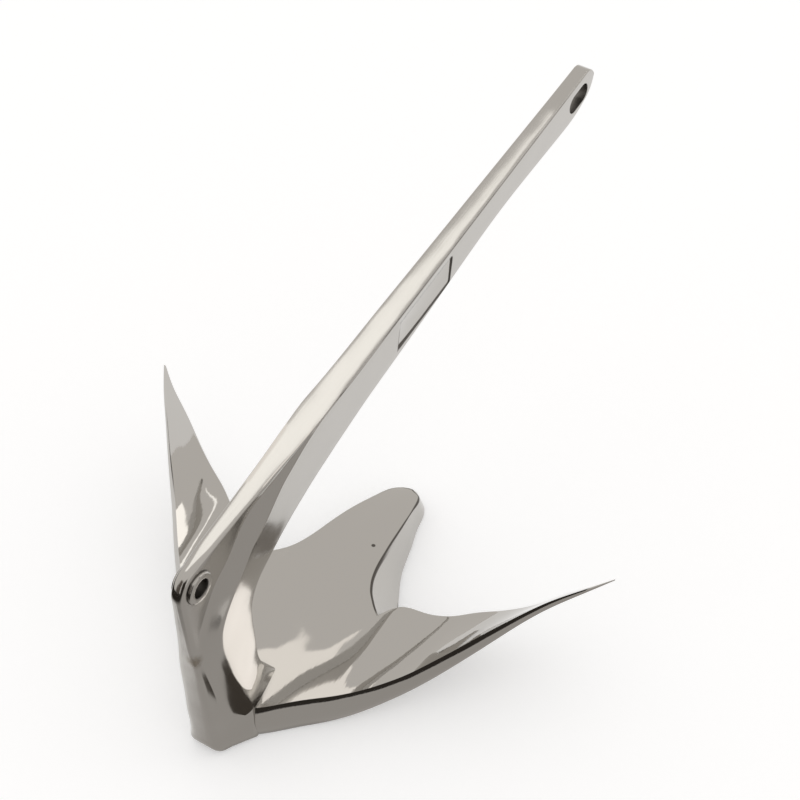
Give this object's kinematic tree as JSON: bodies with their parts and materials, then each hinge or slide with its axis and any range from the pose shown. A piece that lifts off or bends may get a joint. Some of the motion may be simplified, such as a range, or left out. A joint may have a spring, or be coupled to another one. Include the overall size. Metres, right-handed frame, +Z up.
{
  "type": "claw anchor",
  "caption": "Polished cast claw anchor with a dished claw, a curved crown with a trip eye, and a long tapering shank that ends in a shackle slot.",
  "frame": {"origin": "middle of the footprint of the bounding box, on the floor the anchor rests on", "axes": "+X forward from the crown to the shackle end of the shank, +Y to the anchor's left, +Z up as it rests on its heel and the tip of its palm"},
  "size_m": [0.3488, 0.26, 0.1725],
  "materials": {
    "polished_steel": "mirror-polished cast stainless steel, bare metal with no plating"
  },
  "bodies": {
    "root": {"claw_anchor": "polished_steel"}
  },
  "joints": []
}
